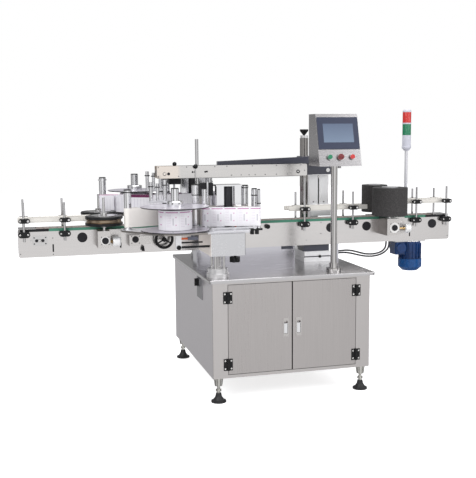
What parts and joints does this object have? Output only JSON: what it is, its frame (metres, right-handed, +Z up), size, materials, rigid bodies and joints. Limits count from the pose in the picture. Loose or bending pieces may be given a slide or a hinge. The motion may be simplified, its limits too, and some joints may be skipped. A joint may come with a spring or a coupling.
{
  "type": "labeling machine",
  "caption": "Two-sided bottle labeling machine: slat chain conveyor on a cabinet, front and rear label heads, hold-down belt, spacing wheels, press rollers, panel and signal tower.",
  "frame": {"origin": "on the floor under the middle of the conveyor's length and width", "axes": "+X along the conveyor towards the outfeed end, +Y to the back, away from the operator's doors, +Z up"},
  "size_m": [2.55, 1.03, 1.54],
  "materials": {
    "stainless": "brushed",
    "polished_steel": "polished",
    "machined_aluminium": "machined satin",
    "dark_slate": "satin powder coat",
    "motor_blue": "semi-gloss paint",
    "black_plastic": "matt",
    "chain_plastic": "matt acetal",
    "strip_green": "matt",
    "foam_grey": "open foam",
    "rubber_black": "matt",
    "label_paper": "gloss coated paper",
    "disc_plastic": "smoked clear plastic",
    "panel_glass": "gloss",
    "lens_set": "gloss, red over green lenses",
    "button_green": "gloss",
    "button_red": "gloss",
    "cable_grey": "matt sheath"
  },
  "bodies": {
    "machine": {"cabinet_shell": "stainless", "table_top": "polished_steel", "cabinet_fittings": "black_plastic", "foot_stems": "polished_steel", "foot_pads": "rubber_black", "control_panel": "black_plastic", "conveyor_side_plates": "stainless", "conveyor_ties": "machined_aluminium", "slat_chain": "chain_plastic", "wear_strips": "strip_green", "gearmotor": "motor_blue", "conveyor_pedestal": "stainless", "guide_posts": "polished_steel", "guide_clamps": "black_plastic", "guide_rails": "machined_aluminium", "drive_boxes": "stainless", "hmi_post": "stainless", "hmi_case": "stainless", "touch_screen": "panel_glass", "signal_tower": "lens_set", "support_columns": "polished_steel", "motor_cable": "cable_grey", "drive_cable": "cable_grey"},
    "left_door": {"left_door": "stainless"},
    "right_door": {"right_door": "stainless"},
    "left_door_pull": {"left_door_pull": "polished_steel"},
    "right_door_pull": {"right_door_pull": "polished_steel"},
    "switch_knob": {"switch_knob": "black_plastic"},
    "start_button": {"start_button": "button_green"},
    "stop_button": {"stop_button": "button_red"},
    "mode_knob": {"mode_knob": "button_red"},
    "front_separator_wheel": {"front_separator_wheel": "machined_aluminium"},
    "front_press_roller": {"front_press_roller": "foam_grey"},
    "rear_separator_wheel": {"rear_separator_wheel": "machined_aluminium"},
    "rear_press_roller": {"rear_press_roller": "foam_grey"},
    "drive_sprocket": {"drive_sprocket": "machined_aluminium"},
    "idler_sprocket": {"idler_sprocket": "machined_aluminium"},
    "hold_down": {"lift_arm": "dark_slate", "hold_down_beam": "stainless", "hold_down_belt": "rubber_black"},
    "lift_knob": {"lift_knob": "black_plastic"},
    "handwheel": {"handwheel": "black_plastic"},
    "separator_knob": {"separator_knob": "machined_aluminium"},
    "press_knob": {"press_knob": "machined_aluminium"},
    "front_head": {"front_head_deck": "machined_aluminium", "front_web_guides": "polished_steel", "front_label_web": "label_paper"},
    "front_reel": {"front_reel_plates": "disc_plastic", "front_label_roll": "label_paper"},
    "front_drive_roller": {"front_drive_roller": "rubber_black"},
    "front_dancer_arm": {"front_dancer_arm": "machined_aluminium"},
    "front_star_knob": {"front_star_knob": "black_plastic"},
    "rear_head": {"rear_head_deck": "machined_aluminium", "rear_web_guides": "polished_steel", "rear_label_web": "label_paper"},
    "rear_reel": {"rear_reel_plates": "disc_plastic", "rear_label_roll": "label_paper"},
    "rear_drive_roller": {"rear_drive_roller": "rubber_black"},
    "rear_dancer_arm": {"rear_dancer_arm": "machined_aluminium"},
    "rear_star_knob": {"rear_star_knob": "black_plastic"}
  },
  "joints": [
    {"name": "left_door_hinge", "type": "hinge", "parent": "machine", "child": "left_door", "pos_m": [-0.243, -0.5015, 0.38], "axis": [0, 0, 1], "range_deg": [-105, 0]},
    {"name": "right_door_hinge", "type": "hinge", "parent": "machine", "child": "right_door", "pos_m": [0.475, -0.5015, 0.38], "axis": [0, 0, 1], "range_deg": [0, 105]},
    {"name": "left_pull_hinge", "type": "hinge", "parent": "left_door", "child": "left_door_pull", "pos_m": [0.0745, -0.491, 0.403], "axis": [1, 0, 0], "range_deg": [-30, 0]},
    {"name": "right_pull_hinge", "type": "hinge", "parent": "right_door", "child": "right_door_pull", "pos_m": [0.1465, -0.491, 0.403], "axis": [1, 0, 0], "range_deg": [-30, 0]},
    {"name": "switch_turn", "type": "hinge", "parent": "machine", "child": "switch_knob", "pos_m": [-0.34, -0.212, 0.602], "axis": [-1, 0, 0], "range_deg": [0, 90]},
    {"name": "start_press", "type": "slide", "parent": "machine", "child": "start_button", "axis": [0, 0.9689, -0.2475], "range_m": [0, 0.004], "stiffness_N_per_m": 300},
    {"name": "stop_press", "type": "slide", "parent": "machine", "child": "stop_button", "axis": [0, 0.9689, -0.2475], "range_m": [0, 0.004], "stiffness_N_per_m": 300},
    {"name": "mode_turn", "type": "hinge", "parent": "machine", "child": "mode_knob", "pos_m": [0.38, -0.48799, 1.277], "axis": [0, -0.9689, 0.2475], "range_deg": [-45, 45]},
    {"name": "front_separator_spin", "type": "hinge", "parent": "machine", "child": "front_separator_wheel", "pos_m": [-0.828, -0.135, 0.95], "axis": [0, 0, 1], "continuous": true},
    {"name": "front_press_spin", "type": "hinge", "parent": "machine", "child": "front_press_roller", "pos_m": [0.836, -0.14, 1], "axis": [0, 0, 1], "continuous": true},
    {"name": "rear_separator_spin", "type": "hinge", "parent": "machine", "child": "rear_separator_wheel", "pos_m": [-0.828, 0.135, 0.95], "axis": [0, 0, 1], "continuous": true},
    {"name": "rear_press_spin", "type": "hinge", "parent": "machine", "child": "rear_press_roller", "pos_m": [0.855, 0.114, 1], "axis": [0, 0, 1], "continuous": true},
    {"name": "drive_sprocket_spin", "type": "hinge", "parent": "machine", "child": "drive_sprocket", "pos_m": [1.16, 0, 0.853], "axis": [0, 1, 0], "continuous": true},
    {"name": "idler_sprocket_spin", "type": "hinge", "parent": "machine", "child": "idler_sprocket", "pos_m": [-1.16, 0, 0.853], "axis": [0, 1, 0], "continuous": true},
    {"name": "hold_down_slide", "type": "slide", "parent": "machine", "child": "hold_down", "axis": [0, 0, 1], "range_m": [-0.06, 0.08]},
    {"name": "lift_knob_turn", "type": "hinge", "parent": "machine", "child": "lift_knob", "pos_m": [0.408, 0.15, 1.4], "axis": [0, 0, 1], "continuous": true},
    {"name": "handwheel_turn", "type": "hinge", "parent": "machine", "child": "handwheel", "pos_m": [-0.499, -0.105, 0.83], "axis": [0, 1, 0], "continuous": true},
    {"name": "separator_knob_turn", "type": "hinge", "parent": "machine", "child": "separator_knob", "pos_m": [-0.766, -0.142, 0.835], "axis": [1, 0, 0], "continuous": true},
    {"name": "press_knob_turn", "type": "hinge", "parent": "machine", "child": "press_knob", "pos_m": [0.942, -0.142, 0.842], "axis": [1, 0, 0], "continuous": true},
    {"name": "front_head_slide", "type": "slide", "parent": "machine", "child": "front_head", "axis": [0, 0, 1], "range_m": [-0.03, 0.02]},
    {"name": "front_reel_spin", "type": "hinge", "parent": "front_head", "child": "front_reel", "pos_m": [-0.48, -0.334, 0.96], "axis": [0, 0, 1], "continuous": true},
    {"name": "front_drive_spin", "type": "hinge", "parent": "front_head", "child": "front_drive_roller", "pos_m": [-0.16, -0.2, 1], "axis": [0, 0, 1], "continuous": true},
    {"name": "front_dancer_swing", "type": "hinge", "parent": "front_head", "child": "front_dancer_arm", "pos_m": [-0.497, -0.14, 1.041], "axis": [0, 0, 1], "range_deg": [-15, 15], "stiffness_Nm_per_rad": 0.8},
    {"name": "front_star_turn", "type": "hinge", "parent": "front_head", "child": "front_star_knob", "pos_m": [-0.172, -0.38, 0.745], "axis": [0, 0, 1], "continuous": true},
    {"name": "rear_head_slide", "type": "slide", "parent": "machine", "child": "rear_head", "axis": [0, 0, 1], "range_m": [-0.03, 0.02]},
    {"name": "rear_reel_spin", "type": "hinge", "parent": "rear_head", "child": "rear_reel", "pos_m": [-0.588, 0.356, 1.005], "axis": [0, 0, 1], "continuous": true},
    {"name": "rear_drive_spin", "type": "hinge", "parent": "rear_head", "child": "rear_drive_roller", "pos_m": [-0.268, 0.2, 1.045], "axis": [0, 0, 1], "continuous": true},
    {"name": "rear_dancer_swing", "type": "hinge", "parent": "rear_head", "child": "rear_dancer_arm", "pos_m": [-0.47, 0.14, 1.086], "axis": [0, 0, 1], "range_deg": [-15, 15], "stiffness_Nm_per_rad": 0.8},
    {"name": "rear_star_turn", "type": "hinge", "parent": "rear_head", "child": "rear_star_knob", "pos_m": [-0.092, 0.38, 0.79], "axis": [0, 0, 1], "continuous": true}
  ],
  "couplings": [
    {"joint": "idler_sprocket_spin", "follows": "drive_sprocket_spin", "ratio": 1}
  ]
}
